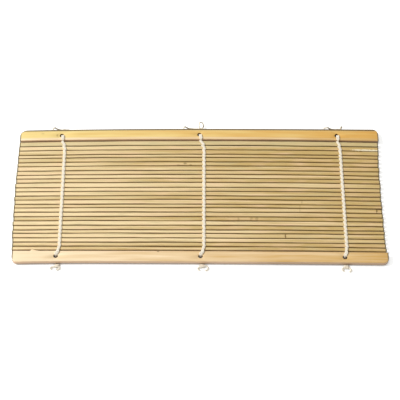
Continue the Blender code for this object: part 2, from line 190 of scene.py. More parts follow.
# How far apart the waves lie along a gap, and along the edge of one slat
GAP_WAVE = 45.0 * MM
EDGE_WAVE = 60.0 * MM
# A slat's edges stay put this near a cord, and wander freely this far from it
HELD_REACH = 2.5 * MM
FREE_REACH = 13.0 * MM

# The stage: the floor's half size, the lamp, and the camera's angles and aim
FLOOR_REACH = 4.0
LAMP_SIZE = 0.9
LAMP_PLACE = Vector((-2.2, 0.1, 2.5))
ELEVATION, YAW, ROLL = radians(59.0), radians(-1.45), radians(1.24)
CAMERA_TARGET = Vector((0.05 * MM, -2.58 * MM, 0.0))

# Mix node sockets for colours
FACTOR, COLOUR_A, COLOUR_B, COLOUR_OUT = 0, 6, 7, 2


def linear(code):
    """An sRGB hex colour as linear red, green and blue."""
    channels = [int(code[place:place + 2], 16) / 255 for place in (1, 3, 5)]
    return [
        value / 12.92 if value <= 0.04045 else ((value + 0.055) / 1.055) ** 2.4
        for value in channels
    ]


def colour_property(name, description, code):
    """A colour that a user may change."""
    return FloatVectorProperty(
        name=name, description=description, default=linear(code), size=3, subtype="COLOR",
        min=0.0, max=1.0,
    )


def length_property(name, description, default):
    """A length that a user may change, given in millimetres."""
    return FloatProperty(
        name=name, description=description, default=default * MM, unit="LENGTH",
        subtype="DISTANCE", precision=5,
    )


class MatSlatSettings(PropertyGroup):
    """Sizes and colours of the bamboo slats."""

    near_bow: length_property("Near bow", "How far the near slats bow towards the far edge", 0.4)
    far_bow: length_property("Far bow", "How far the far slats bow the same way", 1.85)
    skew: length_property("Skew", "How far the near slats' ends lie off square", 1.0)
    far_taper: length_property("Far taper", "How much the far slat widens to the right", 1.2)
    near_taper: length_property("Near taper", "How much the near slat widens to the left", 0.95)
    drift: length_property("Drift", "How far the middle slats lie to the left", 1.35)
    near_drift: length_property("Near drift", "How far the nearest slats lie to the left", 0.35)
    waviness: length_property("Waviness", "How far a gap strays from straight", 0.15)
    play: length_property("Play", "How far a split edge strays from its gap", 0.15)
    arris: length_property("Arris", "Radius of a thin slat's long corners", 0.5)
    crown: length_property("Crown", "How far a thin slat's faces rise at their middle", 0.06)
    end_arris: length_property("End slat arris", "Radius of an end slat's corners", 0.6)
    rim: length_property("Hole rim", "How far a hole's rim is worn back", 0.2)
    stations: IntProperty(
        name="Stations", description="Cross-sections along a thin slat", default=101, min=8
    )
    tone_spread: FloatProperty(
        name="Tone spread", description="How much slats differ in tone", default=0.8, min=0.0
    )
    seed: IntProperty(name="Seed", description="Seed of the slats' differences", default=4)
    pale: colour_property("Pale bamboo", "The pale fibres of split bamboo", "#F6DEAC")
    deep: colour_property("Deep bamboo", "The deeper fibres of split bamboo", "#CDAE6C")
    rosy: colour_property("Rosy bamboo", "The pinker stretches of split bamboo", "#F2CFA4")
    green: colour_property("Green bamboo", "Bamboo that was cut greener", "#D3C391")
    # Painted shade on the flanks, for the shade in the gaps between slats
    flank_shade: colour_property("Flank", "The dusty flanks between two slats", "#9A6A22")
    chip: colour_property("Chip", "Fresh wood where a sliver is gone", "#FFF4D2")
    stain: colour_property("Stain", "Brown marks left by joints and insects", "#6E4A1C")
    # Painted shade for the greyed ends of the slats
    painted_end_shade: colour_property("Painted end shade", "Edges and ends that painted shade has greyed", "#6E6248")
    plain: colour_property("Planed face", "The planed faces of the end slats", "#FFE6BE")
    plain_grain: colour_property("Planed grain", "Their darker grain", "#D9AE66")
    gold: colour_property("Golden band", "The golden band in the far end slat", "#F7DC90")
    gold_grain: colour_property("Golden grain", "The golden band's darker grain", "#E2AC54")
    edge: colour_property("Planed edge", "The pinker sides of the end slats", "#E6C09A")
    # Painted shade along the end slats' far top edge and lower edges
    edge_shade: colour_property("Edge shade", "Dark lines along the end slats' outer edges", "#57452E")
    # Painted shade on the cord holes' walls
    hole_shade: colour_property("Bore", "The drilled walls of the cord holes", "#6A4416")


class MatCordSettings(PropertyGroup):
    """Sizes and colours of the cotton strands."""

    plies: IntProperty(name="Plies", description="Plies in a strand", default=3, min=2)
    ply: length_property("Ply", "Radius of a ply where a strand lies flat", 0.44)
    spread: length_property("Spread", "How far the plies spread on a slat", 0.75)
    rise: length_property("Rise", "How far the plies rise and fall on a slat", 0.13)
    lay: length_property("Lay", "Length of one turn of the plies", 3.3)
    step: length_property("Step", "Distance between a ply's cross-sections", 0.3)
    sides: IntProperty(name="Sides", description="Sides of a ply", default=8, min=5)
    cream: colour_property("Cotton", "The bleached cotton", "#FBF3E2")
    shade: colour_property("Cotton shade", "Cotton in the hollows between fibres", "#E6D9BF")
    # Painted shade in the creases between plies
    crease_shade: colour_property("Cotton crease", "Painted shade in the creases between plies", "#6E5A3C")


class MatStageSettings(PropertyGroup):
    """Light, floor and camera."""

    floor: colour_property("Floor", "The matte paper under the mat", "#F4F4F2")
    sky: FloatProperty(
        name="Sky", description="Strength of the even light from all round", default=0.38
    )
    key_power: FloatProperty(
        name="Key light", description="Power of the soft light over the left", default=95.0,
        unit="POWER",
    )
    distance: length_property("Camera distance", "From the mat's middle to the camera", 1133.0)
    lens: FloatProperty(name="Lens", description="Focal length in millimetres", default=124.56)


# Nodes


def add_node(tree, kind, inputs=None, **settings):
    """Adds a node with its settings, and links or fills its inputs."""
    node = tree.nodes.new(kind)
    for name, value in settings.items():
        setattr(node, name, value)
    for key, value in (inputs or {}).items():
        if isinstance(value, bpy.types.NodeSocket):
            tree.links.new(value, node.inputs[key])
        else:
            node.inputs[key].default_value = value
    return node


def feed(tree, kind, inputs=None, **settings):
    """The first output of a new node."""
    return add_node(tree, kind, inputs, **settings).outputs[0]


def calc(tree, operation, *values, **settings):
    """The result of a calculation with numbers."""
    return feed(tree, "ShaderNodeMath", dict(enumerate(values)), operation=operation, **settings)


def calc_vector(tree, operation, *values):
    """The result of a calculation with vectors, which is a number for a length."""
    node = add_node(tree, "ShaderNodeVectorMath", dict(enumerate(values)), operation=operation)
    return node.outputs["Value" if operation == "LENGTH" else "Vector"]


def ramp(tree, value, start, end, low=0.0, high=1.0, shape="LINEAR"):
    """A value that goes from low to high as another goes from start to end."""
    return feed(tree, "ShaderNodeMapRange", {
        "Value": value, "From Min": start, "From Max": end, "To Min": low, "To Max": high,
    }, interpolation_type=shape)


def mix(tree, share, *paints):
    """Two colours mixed. Each is a socket or a colour's red, green and blue."""
    one, two = (
        paint if isinstance(paint, bpy.types.NodeSocket) else (*paint, 1.0) for paint in paints
    )
    return add_node(tree, "ShaderNodeMix", {
        FACTOR: share, COLOUR_A: one, COLOUR_B: two,
    }, data_type="RGBA").outputs[COLOUR_OUT]


def noise(tree, place, scale=1.0, detail=2.0, roughness=0.5):
    """Soft noise at a place."""
    return feed(tree, "ShaderNodeTexNoise", {
        "Vector": place, "Scale": scale, "Detail": detail, "Roughness": roughness,
    })


def grain_noise(tree, place, length, width, **settings):
    """Noise drawn out along the slats. Its grain's length and width are in millimetres."""
    fine = 1 / (width * MM)
    drawn_out = calc_vector(tree, "MULTIPLY", place, (1 / (length * MM), fine, fine))
    return noise(tree, drawn_out, **settings)


def join_xyz(tree, x=0.0, y=0.0, z=0.0):
    """A vector of three numbers."""
    return feed(tree, "ShaderNodeCombineXYZ", {"X": x, "Y": y, "Z": z})


def split_xyz(tree, vector):
    """The three numbers of a vector, by their names."""
    return add_node(tree, "ShaderNodeSeparateXYZ", {"Vector": vector}).outputs


def mesh_attribute(tree, name, output="Fac"):
    """An attribute of the mesh, for its material."""
    return add_node(tree, "ShaderNodeAttribute", attribute_name=name).outputs[output]


def named_attribute(tree, name, data_type="FLOAT"):
    """An attribute of the geometry, by its name."""
    return feed(tree, "GeometryNodeInputNamedAttribute", {"Name": name}, data_type=data_type)


def store(tree, geometry, name, value, **settings):
    """The geometry with a named attribute stored on it."""
    return feed(tree, "GeometryNodeStoreNamedAttribute", {
        "Geometry": geometry, "Name": name, "Value": value,
    }, **settings)


def new_tree(name, sockets):
    """A Geometry Nodes tree with its named inputs, and the outputs of its group input node."""
    tree = bpy.data.node_groups.new(name, "GeometryNodeTree")
    tree.interface.new_socket("Geometry", in_out="INPUT", socket_type="NodeSocketGeometry")
    for label, kind in sockets:
        tree.interface.new_socket(label, in_out="INPUT", socket_type=f"NodeSocket{kind}")
    tree.interface.new_socket("Geometry", in_out="OUTPUT", socket_type="NodeSocketGeometry")
    return tree, add_node(tree, "NodeGroupInput").outputs


def end_tree(tree, geometry, material):
    """Closes a tree: it is smooth, its instances are made real, and it takes its material."""
    smooth = feed(tree, "GeometryNodeSetShadeSmooth", {"Geometry": geometry})
    real = feed(tree, "GeometryNodeRealizeInstances", {"Geometry": smooth})
    dressed = feed(tree, "GeometryNodeSetMaterial", {"Geometry": real, "Material": material})
    add_node(tree, "NodeGroupOutput", {"Geometry": dressed})


def add_object(name, data):
    """A new object in the scene."""
    made = bpy.data.objects.new(name, data)
    bpy.context.scene.collection.objects.link(made)
    return made


def bake(name, mesh, tree, values):
    """A piece made of the mesh that a tree gives from a starting mesh and its named inputs."""
    piece = add_object(name, mesh)
    modifier = piece.modifiers.new("Maker", "NODES")
    modifier.node_group = tree
    for item in tree.interface.items_tree:
        if item.item_type == "SOCKET" and item.name in values:
            modifier[item.identifier] = values[item.name]
    depsgraph = bpy.context.evaluated_depsgraph_get()
    made = bpy.data.meshes.new_from_object(
        piece.evaluated_get(depsgraph), preserve_all_data_layers=True, depsgraph=depsgraph
    )
    if not made.polygons:
        raise RuntimeError(f"{name} came out empty")
    piece.modifiers.remove(modifier)
    piece.data = made
    bpy.data.meshes.remove(mesh)
    made.name = name
    bow_mesh(made)
    return piece


def new_material(name):
    """An empty node material, its tree and its shader."""
    material = bpy.data.materials.new(name)
    material.use_nodes = True
    return material, material.node_tree, material.node_tree.nodes["Principled BSDF"]


def dress(tree, shader, colour, height, strength, distance):
    """Gives a shader its colour and a fine relief."""
    relief = feed(tree, "ShaderNodeBump", {
        "Height": height, "Strength": strength, "Distance": distance,
    })
    tree.links.new(colour, shader.inputs["Base Color"])
    tree.links.new(relief, shader.inputs["Normal"])


# How the mat lies


def bow_at(x, y):
    """How far the mat's bow, its skew and the end slats' tapers move a point to the far edge."""
    settings = bpy.context.scene.mat_slats
    share = min(max(0.5 + y / HALF_DEPTH / 2, 0.0), 1.0)
    along = x / HALF_LENGTH
    bow = settings.near_bow + (settings.far_bow - settings.near_bow) * share
    far_outer = min(max((y - HOLE_FAR) / (HALF_DEPTH - HOLE_FAR), 0.0), 1.0)
    near_outer = min(max((HOLE_NEAR - y) / (HALF_DEPTH + HOLE_NEAR), 0.0), 1.0)
    return (
        bow * (0.5 - along * along) - settings.skew * (1.0 - share) * along
        + settings.far_taper * far_outer * max(along, 0.0) ** 2
        - settings.near_taper * near_outer * max(-along, 0.0) ** 6
    )


def drift_at(y):
    """How far the thin slats across the mat at a place have slid to the right."""
    settings = bpy.context.scene.mat_slats
    share = 0.5 + y / HALF_DEPTH / 2
    return -settings.drift * 4 * share * (1.0 - share) - settings.near_drift * (1.0 - share)


def bow_mesh(mesh):
    """Bows a mesh with the rest of the mat, and keeps its straight places for its material."""
    straight = mesh.attributes.new("straight", "FLOAT_VECTOR", "POINT")
    straight.data.foreach_set("vector", [value for vertex in mesh.vertices for value in vertex.co])
    for vertex in mesh.vertices:
        vertex.co.y += bow_at(vertex.co.x, vertex.co.y)
    mesh.update()


def pair_x(side, y):
    """The middle of a pair of strands: over its holes at the ends, beside them in between."""
    run = min((HOLE_FAR - y) / FAR_SHIFT_RUN, (y - HOLE_NEAR) / NEAR_SHIFT_RUN)
    run = min(max(run, 0.0), 1.0)
    eased = run * run * (3.0 - 2.0 * run)
    lean = PAIR_LEANS[side] * (0.5 - y / HALF_DEPTH / 2)
    return HOLE_PLACES[side] + eased * (PAIR_OFFSETS[side] + lean)


def gap_y(gap):
    """The middle of the gap on the near side of a slat."""
    return HINGES[gap]["pos_m"][1]


# Bamboo


def build_slat_tree():
    """The tree of a thin slat: a section with round corners, swept along it and then worn."""
    tree, given = new_tree("Split slat", (
        ("Left", "Float"), ("Right", "Float"), ("Middle", "Float"), ("Width", "Float"),
        ("Height", "Float"), ("Thickness", "Float"), ("Arris", "Float"), ("Crown", "Float"),
        ("Waviness", "Float"), ("Play", "Float"), ("Far Gap", "Float"), ("Near Gap", "Float"),
        ("Stations", "Int"), ("Seed", "Float"), ("Tone", "Float"), ("Green", "Float"),
        ("Material", "Material"),
    ))
    line = feed(tree, "GeometryNodeCurvePrimitiveLine", {
        "Start": join_xyz(tree, given["Left"], given["Middle"], given["Height"]),
        "End": join_xyz(tree, given["Right"], given["Middle"], given["Height"]),
    })
    rail = feed(tree, "GeometryNodeResampleCurve", {"Curve": line, "Count": given["Stations"]})
    section = feed(tree, "GeometryNodeCurvePrimitiveQuadrilateral", {
        "Width": given["Width"], "Height": given["Thickness"],
    })
    cut = feed(tree, "GeometryNodeSubdivideCurve", {"Curve": section, "Cuts": 2})
    rounded = feed(tree, "GeometryNodeFilletCurve", {
        "Curve": cut, "Count": 3, "Radius": given["Arris"], "Limit Radius": True,
    }, mode="POLY")
    stick = feed(tree, "GeometryNodeCurveToMesh", {
        "Curve": rail, "Profile Curve": rounded, "Fill Caps": True,
    })

    # Where a point lies: along the slat, and across it and up it as shares of the half sizes
    place = split_xyz(tree, feed(tree, "GeometryNodeInputPosition"))
    across, up = (
        calc(
            tree, "DIVIDE", calc(tree, "SUBTRACT", place[axis], given[middle]),
            calc(tree, "MULTIPLY", given[size], 0.5),
        )
        for axis, middle, size in (("Y", "Middle", "Width"), ("Z", "Height", "Thickness"))
    )
    side = calc(tree, "SIGN", across)

    # Split edges wander along with their neighbour across the gap, and a little on their own, but
    # not where the cords hold the slats
    left, middle, right = (
        calc(tree, "ABSOLUTE", calc(tree, "SUBTRACT", place["X"], pair_x(cord, 0.0)))
        for cord in SIDES
    )
    hold = calc(tree, "MINIMUM", calc(tree, "MINIMUM", left, middle), right)
    free = ramp(tree, hold, HELD_REACH, FREE_REACH, shape="SMOOTHSTEP")
    gap = ramp(tree, side, -1.0, 1.0, given["Near Gap"], given["Far Gap"])
    strays = []
    for wave, own, edge, reach in (
        (GAP_WAVE, gap, 0.0, "Waviness"), (EDGE_WAVE, given["Seed"], side, "Play"),
    ):
        along = calc(tree, "MULTIPLY", place["X"], 1.0 / wave)
        wander = noise(tree, join_xyz(tree, along, own, edge))
        centred = ramp(tree, wander, 0.3, 0.7, low=-1.0)
        strays.append(calc(tree, "MULTIPLY", centred, given[reach]))
    held = calc(tree, "MULTIPLY", calc(tree, "ADD", *strays), free)
    shift = calc(tree, "MULTIPLY", held, calc(tree, "ABSOLUTE", across))

    # Faces are a little crowned
    inside = calc(tree, "SUBTRACT", 1.0, calc(tree, "MULTIPLY", across, across))
    crowned = calc(tree, "MULTIPLY", inside, given["Crown"])
    worn = feed(tree, "GeometryNodeSetPosition", {
        "Geometry": stick,
        "Offset": join_xyz(tree, 0.0, shift, calc(tree, "MULTIPLY", crowned, up)),
    })
    for label in ("Seed", "Tone", "Green"):
        worn = store(tree, worn, f"slat_{label.lower()}", given[label])
    end_tree(tree, worn, given["Material"])
    return tree


def spot(tree, place, colour, marks, paint):
    """A colour with marks painted on it, one after the other, with uneven outlines."""
    ragged = ramp(tree, noise(tree, place, scale=1 / (1.2 * MM)), 0.3, 0.7, -0.4, 0.4)
    for x, y, half_length, half_width, strength in marks:
        away = calc_vector(tree, "SUBTRACT", place, (x * MM, y * MM, 0.0))
        scaled = calc_vector(
            tree, "MULTIPLY", away, (1 / (half_length * MM), 1 / (half_width * MM), 0.0)
        )
        uneven = calc(tree, "ADD", calc_vector(tree, "LENGTH", scaled), ragged)
        share = ramp(tree, uneven, 1.3, 0.6, high=strength, shape="SMOOTHSTEP")
        colour = mix(tree, share, colour, paint)
    return colour


def end_share(tree):
    """How much of a slat's surface lies at its ends, which painted shade greys."""
    return ramp(tree, mesh_attribute(tree, "from_end"), 1.3 * MM, 0.7 * MM, high=0.85)


def mark_ends(mesh):
    """Stores how far each point of a slat is from the nearer of its two ends."""
    places = [vertex.co.x for vertex in mesh.vertices]
    left, right = min(places), max(places)
    from_end = mesh.attributes.new("from_end", "FLOAT", "POINT")
    from_end.data.foreach_set("value", [min(x - left, right - x) for x in places])


def finish_bamboo(tree, shader, colour, painted_end_shade, fibres, relief, patches, dull, sleek):
    """Gives bamboo its colour with painted shade at its ends, a fibre relief and a patchy sheen."""
    strength, distance = relief
    dress(tree, shader, mix(tree, end_share(tree), colour, painted_end_shade), fibres, strength, distance)
    tree.links.new(ramp(tree, patches, 0.0, 1.0, dull, sleek), shader.inputs["Roughness"])
    shader.inputs["IOR"].default_value = 1.5


def grain_depth(tree, grain, x, left, right):
    """How deep bamboo's tone is: by its grain, and by painted shade that deepens to the right."""
    # Painted shade: the tone deepens to the right, for light falling off from the left
    painted_falloff = ramp(tree, x, -HALF_LENGTH, HALF_LENGTH, left, right)
    return calc(tree, "ADD", grain, painted_falloff, use_clamp=True)


def make_split_bamboo(settings):
    """Bamboo split into sticks and left raw.

    Straight fibres run along the stick, pale with deeper streaks, and drift between rosy and
    greenish. Painted shade deepens the tone to the right, as the light falls off from the left.
    Light sinks in, so it has only a dull sheen. Painted shade darkens the flanks in the gaps and
    greys the sawn ends, and joints and insects leave a few brown marks.
    """
    material, tree, shader = new_material("split_bamboo")
    straight = mesh_attribute(tree, "straight", "Vector")
    seed, tone, green = (
        mesh_attribute(tree, f"slat_{name}") for name in ("seed", "tone", "green")
    )
    place = split_xyz(tree, straight)
    shifted = calc_vector(tree, "ADD", straight, join_xyz(tree, seed, seed))

    # Fibres 0.3 mm across, streaks 1.2 mm across, and drifts about 25 mm long
    fibres = grain_noise(tree, shifted, 45.0, 0.3, detail=3.0, roughness=0.6)
    streaks = grain_noise(tree, shifted, 60.0, 1.2)
    drifts = grain_noise(tree, shifted, 25.0, 4.0)
    grain = ramp(tree, calc(tree, "ADD", fibres, streaks), 0.75, 1.3)
    depth = grain_depth(tree, calc(tree, "ADD", grain, tone), place["X"], -0.5, 0.7)
    body = mix(tree, depth, settings.pale, settings.deep)
    rosy = mix(tree, ramp(tree, drifts, 0.5, 0.75, high=0.6), body, settings.rosy)
    greenness = ramp(tree, drifts, 0.48, 0.25, high=0.5)
    green_share = calc(tree, "ADD", greenness, green, use_clamp=True)
    tinted = mix(tree, green_share, rosy, settings.green)

    # Only the flanks take painted shade, for the shade in the gaps between slats: the underside
    # keeps the top's colour. The greener slat's flanks take the darkest painted shade.
    bottom, top = (corner.z for corner in SLAT_BOXES[1])
    below = ramp(tree, place["Z"], top - 0.4 * MM, top - 1.2 * MM)
    raised = ramp(tree, place["Z"], bottom + 0.1 * MM, bottom + 0.5 * MM)
    shade_depth = ramp(tree, drifts, 0.3, 0.65, low=0.35)
    green_flank_shade = calc(tree, "MULTIPLY", green, 1.4)
    flank_shade_share = calc(
        tree, "MULTIPLY", calc(tree, "MULTIPLY", below, raised),
        calc(tree, "MAXIMUM", shade_depth, green_flank_shade),
    )
    flank_shade = mix(tree, green_flank_shade, settings.flank_shade, (0.0, 0.0, 0.0))
    shaded = mix(tree, flank_shade_share, tinted, flank_shade)
    chipped = spot(tree, straight, shaded, THIN_CHIPS, settings.chip)
    stained = spot(tree, straight, chipped, THIN_STAINS, settings.stain)
    finish_bamboo(
        tree, shader, stained, settings.painted_end_shade, fibres, (0.5, 0.08 * MM), streaks, 0.62, 0.45
    )
    return material


def make_planed_bamboo(settings):
    """Thick bamboo planed flat and lightly varnished.

    The planed faces are pale with fine amber grain, and a golden band lies in the far one. The
    sides show the pinker inner wood, browner to the right. Painted shade deepens the tone to the
    right, darkens the far edge, the lower edges and the walls of the drilled holes, and greys the
    ends. A few brown stains mark the faces.
    """
    material, tree, shader = new_material("planed_bamboo")
    straight = mesh_attribute(tree, "straight", "Vector")
    place = split_xyz(tree, straight)
    bottom, top = (corner.z for corner in SLAT_BOXES[0])

    # Fibres 0.35 mm across and bands 3 mm across
    fibres = grain_noise(tree, straight, 60.0, 0.35, detail=3.0, roughness=0.6)
    bands = grain_noise(tree, straight, 45.0, 3.0)
    grain = ramp(tree, calc(tree, "ADD", fibres, bands), 0.6, 1.5)
    depth = grain_depth(tree, grain, place["X"], -0.45, 0.5)
    plain = mix(tree, depth, settings.plain, settings.plain_grain)
    golden = mix(tree, depth, settings.gold, settings.gold_grain)
    band = ramp(tree, place["Y"], 53.8 * MM, 55.4 * MM, shape="SMOOTHSTEP")
    face = mix(tree, band, plain, golden)
    greener = ramp(tree, place["Y"], 60.2 * MM, 62.6 * MM, high=0.6)
    skinned = mix(tree, greener, face, settings.green)
    browner = ramp(tree, place["X"], 35.0 * MM, 60.0 * MM, high=0.3)
    side_colour = mix(tree, browner, settings.edge, settings.stain)
    sides = ramp(tree, place["Z"], top - 0.1 * MM, top - 0.5 * MM)
    coloured = mix(tree, sides, skinned, side_colour)
    stained = spot(tree, straight, coloured, END_STAINS, settings.stain)

    # Painted shade lies along the far edge, round its left corner and down the left ends, and on
    # the lower edges, but not on the underside
    from_left = calc_vector(
        tree, "MULTIPLY_ADD", straight, (-1.0, 1.0, 0.0),
        (EDGE_SHADE_CORNER - HALF_LENGTH - EDGE_SHADE_INSET, EDGE_SHADE_CORNER - HALF_DEPTH, 0.0),
    )
    outside = calc_vector(tree, "MAXIMUM", from_left, (0.0, 0.0, 0.0))
    far_edge = ramp(
        tree, calc_vector(tree, "LENGTH", outside), EDGE_SHADE_CORNER - 1.85 * MM,
        EDGE_SHADE_CORNER - 1.15 * MM, high=0.9,
    )
    low_edge = ramp(tree, place["Z"], 2.9 * MM, 2.2 * MM, high=0.95)
    lifted = ramp(tree, place["Z"], bottom + 0.05 * MM, bottom + 0.25 * MM)
    edges = calc(tree, "MAXIMUM", far_edge, calc(tree, "MULTIPLY", low_edge, lifted))
    edge_shaded = mix(tree, edges, stained, settings.edge_shade)

    # Between the two faces and away from the ends, only the holes' walls lie as far across the
    # mat as the holes do
    far_row, near_row = (
        calc(tree, "COMPARE", place["Y"], hole, HOLE_RADIUS + 0.1 * MM)
        for hole in (HOLE_FAR, HOLE_NEAR)
    )
    wall = calc(tree, "MAXIMUM", far_row, near_row)
    inward = ramp(tree, place["Z"], top - 0.25 * MM, top - 0.6 * MM)
    from_ends = calc(
        tree, "COMPARE", place["X"], 0.0, HOLE_PLACES["right"] + 2 * HOLE_RADIUS
    )
    for limit in (inward, lifted, from_ends):
        wall = calc(tree, "MULTIPLY", wall, limit)
    # Painted shade on the holes' walls, for the shade deep in the holes
    hole_shaded = mix(tree, wall, edge_shaded, settings.hole_shade)
    finish_bamboo(
        tree, shader, hole_shaded, settings.painted_end_shade, fibres, (0.4, 0.06 * MM), bands, 0.5, 0.38
    )
    return material


class MAT_OT_lay_thin_slats(Operator):
    """Lays the 26 thin slats, each split from bamboo with its own edges and tone"""

    bl_idname = "mat.lay_thin_slats"
    bl_label = "Lay Thin Slats"

    def execute(self, context):
        settings = context.scene.mat_slats
        chance = random.Random(settings.seed)
        tree = build_slat_tree()
        material = make_split_bamboo(settings)
        wanders = [chance.uniform(0.0, 100.0) for _ in HINGES]
        for slat in range(1, LAST):
            low, high = SLAT_BOXES[slat]
            middle = (low.y + high.y) / 2
            slid = drift_at(middle)
            slatted = bake(f"split_slat_{slat:02d}", bpy.data.meshes.new("start"), tree, {
                "Left": low.x + slid, "Right": high.x + slid, "Middle": middle,
                "Height": (low.z + high.z) / 2, "Width": high.y - low.y,
                "Thickness": high.z - low.z, "Arris": settings.arris, "Crown": settings.crown,
                "Waviness": settings.waviness, "Play": settings.play,
                "Stations": settings.stations, "Material": material,
                "Far Gap": wanders[slat - 1], "Near Gap": wanders[slat],
                "Seed": chance.uniform(0.0, 100.0),
                "Tone": chance.uniform(-0.5, 0.5) * settings.tone_spread,
                "Green": GREEN_SHARE if slat == GREEN_SLAT else 0.0,
            })
            mark_ends(slatted.data)
            slatted.data.set_sharp_from_angle(angle=radians(50))
            node = SLAT_NODES[slat]
            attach(slatted, BODY_OF[node])
            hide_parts(node)
        return {"FINISHED"}


def end_outline(low, high, out, radii):
    """An end slat's outline in X and Y: square inner corners and round outer ones."""
    inner, outer = (low.y, high.y) if out > 0 else (high.y, low.y)
    points = [(low.x, inner), (high.x, inner)]
    for side, radius in ((1, radii[1]), (-1, radii[0])):
        for step in range(CORNER_STEPS + 1):
            turn = step / CORNER_STEPS * pi / 2
            if side < 0:
                turn = pi / 2 - turn
            points.append((
                side * (high.x - radius + radius * cos(turn)),
                outer - out * (radius - radius * sin(turn)),
            ))
    return points


def end_slat_mesh(low, high, out, radii, settings):
    """An end slat with rounded corners and three holes with worn rims."""
    bm = bmesh.new()
    base = bm.faces.new([bm.verts.new((x, y, low.z)) for x, y in end_outline(low, high, out, radii)])
    raised = bmesh.ops.extrude_face_region(bm, geom=[base])
    top = [item for item in raised["geom"] if isinstance(item, bmesh.types.BMVert)]
    bmesh.ops.translate(bm, verts=top, vec=(0.0, 0.0, high.z - low.z))
    bmesh.ops.recalc_face_normals(bm, faces=bm.faces)
    flat = [edge for edge in bm.edges if abs(edge.verts[0].co.z - edge.verts[1].co.z) < MM * MM]
    upright = [
        edge for edge in bm.edges
        if edge not in flat and abs(edge.verts[0].co.y * out) < HALF_DEPTH - WIDEST_CORNER
    ]
    bmesh.ops.bevel(
        bm, geom=flat + upright, offset=settings.end_arris, segments=ARRIS_STEPS, profile=0.5,
        affect="EDGES",
    )
    slab = as_object(bm, "slab")
    cutters = []
    hole_y = HOLE_FAR if out > 0 else HOLE_NEAR
    for x in HOLE_PLACES.values():
        cutter = hole_cutter(x, hole_y, low.z, high.z, settings.rim)
        modifier = slab.modifiers.new("Hole", "BOOLEAN")
        modifier.object = cutter
        modifier.solver = "EXACT"
        cutters.append(cutter)
    depsgraph = bpy.context.evaluated_depsgraph_get()
    made = bpy.data.meshes.new_from_object(slab.evaluated_get(depsgraph), depsgraph=depsgraph)
    for obj in (slab, *cutters):
        bpy.data.objects.remove(obj)
    return made


def as_object(bm, name):
    """An object in the scene, made from a bmesh, which is freed."""
    mesh = bpy.data.meshes.new(name)
    bm.to_mesh(mesh)
    bm.free()
    return add_object(name, mesh)


def hole_cutter(x, y, bottom, top, rim):
    """A round cutter for one hole, flared at both faces."""
    levels = (
        (bottom - MM, HOLE_RADIUS + rim + MM), (bottom, HOLE_RADIUS + rim),
        (bottom + rim * 0.4, HOLE_RADIUS + rim * 0.3), (bottom + rim, HOLE_RADIUS),
        (top - rim, HOLE_RADIUS), (top - rim * 0.4, HOLE_RADIUS + rim * 0.3),
        (top, HOLE_RADIUS + rim), (top + MM, HOLE_RADIUS + rim + MM),
    )
    bm = bmesh.new()
    turns = [2 * pi * step / HOLE_SIDES for step in range(HOLE_SIDES)]
    rings = [
        [bm.verts.new((x + radius * cos(turn), y + radius * sin(turn), z)) for turn in turns]
        for z, radius in levels
    ]
    for one, two in zip(rings, rings[1:]):
        for step in range(HOLE_SIDES):
            after = (step + 1) % HOLE_SIDES
            bm.faces.new((one[step], one[after], two[after], two[step]))
    bm.faces.new(rings[0][::-1])
    bm.faces.new(rings[-1])
    return as_object(bm, "hole")


def splinter_at(x):
    """How far the near end slat's splinter stands out into the gap, over its length."""
    if x < SPLINTER_PLACE:
        share = (x - SPLINTER_PLACE + SPLINTER_LEFT) / SPLINTER_LEFT
    else:
        share = (SPLINTER_PLACE + SPLINTER_RIGHT - x) / SPLINTER_RIGHT
    return SPLINTER_REACH * max(share, 0.0) ** 1.5


def cut_across(mesh, out, inner):
    """Cuts an end slat across so that it can bow, and pulls out the near one's splinter."""
    bm = bmesh.new()
    bm.from_mesh(mesh)
    places = [BOW_START + step * BOW_STEP for step in BOW_STEPS]
    places += [SPLINTER_PLACE + step * SPLINTER_STEP for step in SPLINTER_STEPS]
    cuts = [((place, 0.0, 0.0), (1.0, 0.0, 0.0)) for place in places]
    cuts.append(((0.0, 0.0, HINGE_HEIGHT), (0.0, 0.0, 1.0)))
    for place, facing in cuts:
        bmesh.ops.bisect_plane(
            bm, geom=bm.verts[:] + bm.edges[:] + bm.faces[:], dist=MM * MM,
            plane_co=place, plane_no=facing,
        )
    # The splinter leans out from the hinge's height up
    if out < 0:
        for vert in bm.verts:
            raised = vert.co.z > HINGE_HEIGHT + 0.1 * MM
            if raised and vert.co.y > inner - 1.0 * MM:
                vert.co.y += splinter_at(vert.co.x)
    bm.to_mesh(mesh)
    bm.free()


class MAT_OT_lay_end_slats(Operator):
    """Lays the two thick end slats with their cord holes"""

    bl_idname = "mat.lay_end_slats"
    bl_label = "Lay End Slats"

    def execute(self, context):
        settings = context.scene.mat_slats
        material = make_planed_bamboo(settings)
        for slat, edge, out in ((0, "far", 1), (LAST, "near", -1)):
            low, high = SLAT_BOXES[slat]
            mesh = end_slat_mesh(low, high, out, END_CORNERS[slat], settings)
            cut_across(mesh, out, high.y)
            bow_mesh(mesh)
            mark_ends(mesh)
            mesh.name = f"planed_slat_{edge}"
            mesh.materials.clear()
            mesh.materials.append(material)
            mesh.shade_smooth()
            mesh.set_sharp_from_angle(angle=radians(35))
            piece = add_object(mesh.name, mesh)
            node = SLAT_NODES[slat]
            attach(piece, BODY_OF[node])
            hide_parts(node)
        return {"FINISHED"}


# Cotton


